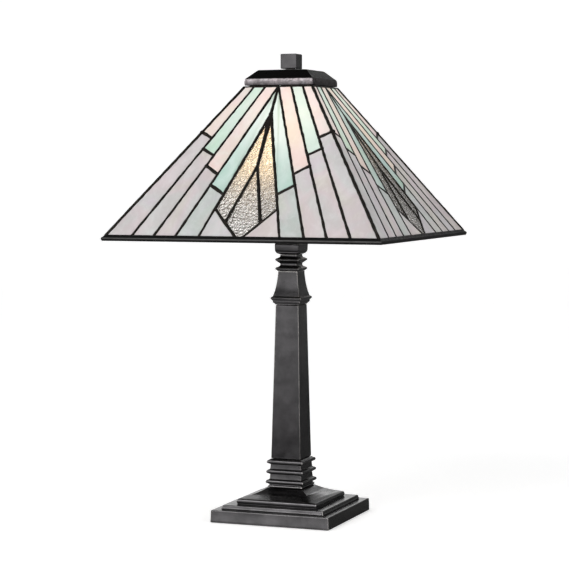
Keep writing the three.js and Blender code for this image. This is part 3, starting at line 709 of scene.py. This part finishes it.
def corner_lead(index, side, next_side):
    """The heavy seam down a corner of the shade, between one face and the next."""
    inward = Vector((-1, 1, 0)).normalized()
    up = Vector((-RUN, RUN, RISE)).normalized()
    out = up.cross(inward.cross(up)).normalized() * -1
    sideways = up.cross(out).normalized()
    sink = 2.1 * MM
    above_rim, below_cap = 8 * MM, 2 * MM
    half_widths, depth = (2.5 * MM, 2.1 * MM), 2.6 * MM
    low = Vector((RIM_HALF, -RIM_HALF, RIM_HEIGHT)) - out * sink + up * above_rim
    high = Vector((TOP_HALF, -TOP_HALF, TOP_HEIGHT)) - out * sink - up * below_cap
    points = []
    faces = []
    bead(points, faces, low, high, half_widths, depth, 200 + index, across=sideways, out=out)
    data = smooth_mesh(f"corner_seam_{side}_{next_side}", points, faces)
    data.transform(Matrix.Rotation(index * math.pi / 2, 4, "Z"))
    replaced = (f"corner_lead_{side}_{next_side}",)
    new_object(f"corner_seam_{side}_{next_side}", data, solder, "shade", replaced)


flat_kite = gridded_kite()
for index, side in enumerate(SIDES):
    opal_face(index, side)
    hammered_face(index, side, flat_kite)
    lead_face(index, side)
    corner_lead(index, side, SIDES[(index + 1) % len(SIDES)])


# ---- Bulbs -------------------------------------------------------------------------------------------------
def bulb_parts(end):
    """A bulb's envelope, turned round its own axis, and the finish of its screw cap."""
    glass_low, glass_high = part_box(f"bulb_glass_{end}")
    centre = ((glass_low[0] + glass_high[0]) / 2, (glass_low[1] + glass_high[1]) / 2)
    radius = (glass_high[0] - glass_low[0]) / 2
    middle = glass_high[2] - radius
    neck = 13 * MM
    blend = middle - 0.78 * radius
    wide = math.sqrt(radius**2 - (middle - blend) ** 2)
    profile = []
    for step in range(13):
        share = step / 12
        ease = share * share * (3 - 2 * share)
        profile.append((neck + (wide - neck) * ease, glass_low[2] + (blend - glass_low[2]) * share))
    profile += arc((0, middle), radius, -51.3, 89.5, 22)[1:]
    data = lathed(f"bulb_{end}", profile, centre)
    new_object(f"bulb_{end}", data, bulb_skin, f"bulb_{end}", (f"bulb_glass_{end}",))
    finish_node(f"bulb_screw_cap_{end}", cap_tin, 0)


for end in ENDS:
    bulb_parts(end)


# ---- Studio ------------------------------------------------------------------------------------------------
def studio_floor():
    """A pale floor that curves up into a wall far behind the lamp, on every side alike."""
    flat, curve = 6.0, 4.5
    bends = [math.radians(angle) for angle in range(10, 100, 10)]
    profile = [(flat, 0)]
    profile += [(flat + curve * math.sin(a), curve - curve * math.cos(a)) for a in bends]
    points = [(0, 0, 0)]
    segments = 64
    for radius, height in profile:
        points += ring(radius, height, segments=segments)
    faces = [(0, 1 + step, 1 + (step + 1) % segments) for step in range(segments)]
    for level in range(len(profile) - 1):
        low = 1 + level * segments
        for step in range(segments):
            after = (step + 1) % segments
            faces.append((low + step, low + segments + step, low + segments + after, low + after))
    data = smooth_mesh("studio_floor", points, faces)
    paint = Shader("studio_paint", Roughness=0.9, Specular_IOR_Level=0.1)
    faint = paint.range(paint.noise(3, detail=2), 0.3, 0.7, 0.86, 0.88)
    paint.set("Base Color", paint.node("CombineColor", {0: faint, 1: faint, 2: faint}).outputs[0])
    away = paint.node("VectorMath", {0: paint.place}, operation="LENGTH").outputs["Value"]
    paint.set("Emission Color", rgba(1, 1, 1))
    near, far = 0.3, 3.0
    paint.set("Emission Strength", paint.range(away, near, far, 0.47, 0.56))
    data.materials.append(paint.material)
    floor = bpy.data.objects.new("studio_floor", data)
    bpy.context.scene.collection.objects.link(floor)


def face_lamp(made, azimuth, elevation, distance, aim=0.38):
    """Puts a light or a card round the lamp, facing it. Azimuth 0 is in front, and 90 on the right."""
    turn = math.radians(azimuth)
    rise = math.radians(elevation)
    offset = Vector((math.sin(turn) * math.cos(rise), -math.cos(turn) * math.cos(rise), math.sin(rise)))
    made.location = offset * distance + Vector((0, 0, aim))
    made.rotation_euler = offset.to_track_quat("Z", "Y").to_euler()
    bpy.context.scene.collection.objects.link(made)


def area_light(name, azimuth, elevation, distance, size, power, glossy=True, diffuse=True):
    """A soft box out of the camera's sight, which may show in reflections only or light only what is matt."""
    light = bpy.data.lights.new(name, "AREA")
    light.shape = "RECTANGLE"
    light.size, light.size_y = size
    light.energy = power
    made = bpy.data.objects.new(name, light)
    made.visible_glossy = glossy
    made.visible_diffuse = diffuse
    made.visible_camera = False
    face_lamp(made, azimuth, elevation, distance)
    return made


def dark_card(name, size, shade=0.12):
    """A black card that only shows in reflections, as the cards that darken metal in a studio."""
    wide, high = (part / 2 for part in size)
    corners = [(-wide, -high, 0), (wide, -high, 0), (wide, high, 0), (-wide, high, 0)]
    data = bpy.data.meshes.new(name)
    data.from_pydata(corners, [], [(0, 1, 2, 3)])
    cloth = Shader("black_card", Roughness=1.0, Specular_IOR_Level=0.0)
    cloth.set("Base Color", rgba(shade, shade, shade))
    data.materials.append(cloth.material)
    made = bpy.data.objects.new(name, data)
    made.visible_camera = False
    made.visible_shadow = False
    made.visible_diffuse = False
    made.visible_transmission = False
    return made


def camera():
    """The camera, on the right of the front face and a little above the lamp's middle."""
    azimuth, pan, downwards = (math.radians(angle) for angle in (20.85, 0.185, 3.501))
    distance, height = 2.759, 0.4994
    lens = bpy.data.cameras.new("camera")
    lens.sensor_width = 36
    lens.lens = 123.27
    lens.clip_end = 40
    made = bpy.data.objects.new("camera", lens)
    made.location = (distance * math.sin(azimuth), -distance * math.cos(azimuth), height)
    made.rotation_euler = (math.pi / 2 - downwards, 0, azimuth + pan)
    bpy.context.scene.collection.objects.link(made)
    bpy.context.scene.camera = made


def sky(strength):
    world = bpy.data.worlds.new("studio")
    world.use_nodes = True
    background = world.node_tree.nodes["Background"]
    background.inputs["Color"].default_value = rgba(1, 1, 1)
    background.inputs["Strength"].default_value = strength
    bpy.context.scene.world = world


studio_floor()
area_light("key", -24, 5, 3.2, (2.2, 1.3), 26, diffuse=False)
area_light("soft_front", -20, 38, 3.0, (1.6, 1.0), 30, glossy=False)
area_light("edge_high", -20, 34, 3.0, (1.6, 1.5), 92, diffuse=False)
area_light("soft_right", 80, 22, 3.0, (1.6, 1.6), 19, glossy=False)
area_light("edge_right", 50, 6, 3.0, (0.3, 1.5), 14, diffuse=False)
area_light("edge_left", -105, 6, 3.0, (0.3, 1.5), 14, diffuse=False)
area_light("edge_back", 150, 34, 2.6, (1.6, 0.6), 12, diffuse=False)
area_light("overhead", 0, 84, 3.0, (3.0, 3.0), 10, glossy=False)
face_lamp(dark_card("card_right", (2.2, 1.9), shade=0.22), 152, 10, 2.2)
face_lamp(dark_card("card_back", (2.4, 0.8), shade=0.5), 173, 22, 2.4)
floor_strip = area_light("floor_strip", 0, 90, 1.0, (0.5, 0.11), 0.5, diffuse=False)  # for the plinth's front
floor_strip.location = (0, -155 * MM, 1 * MM)
floor_strip.rotation_euler = (math.radians(180), 0, 0)
for name, depth, middle, shade in (("low_rear", 2.4, 1.12, 0.18), ("low_front", 1.0, -0.82, 0.12)):
    card = dark_card(f"card_{name}", (5, depth), shade)
    card.location = (0, middle, 0.5 * MM)
    bpy.context.scene.collection.objects.link(card)
sky(0.3)
camera()
bpy.context.scene.view_settings.view_transform = "Standard"
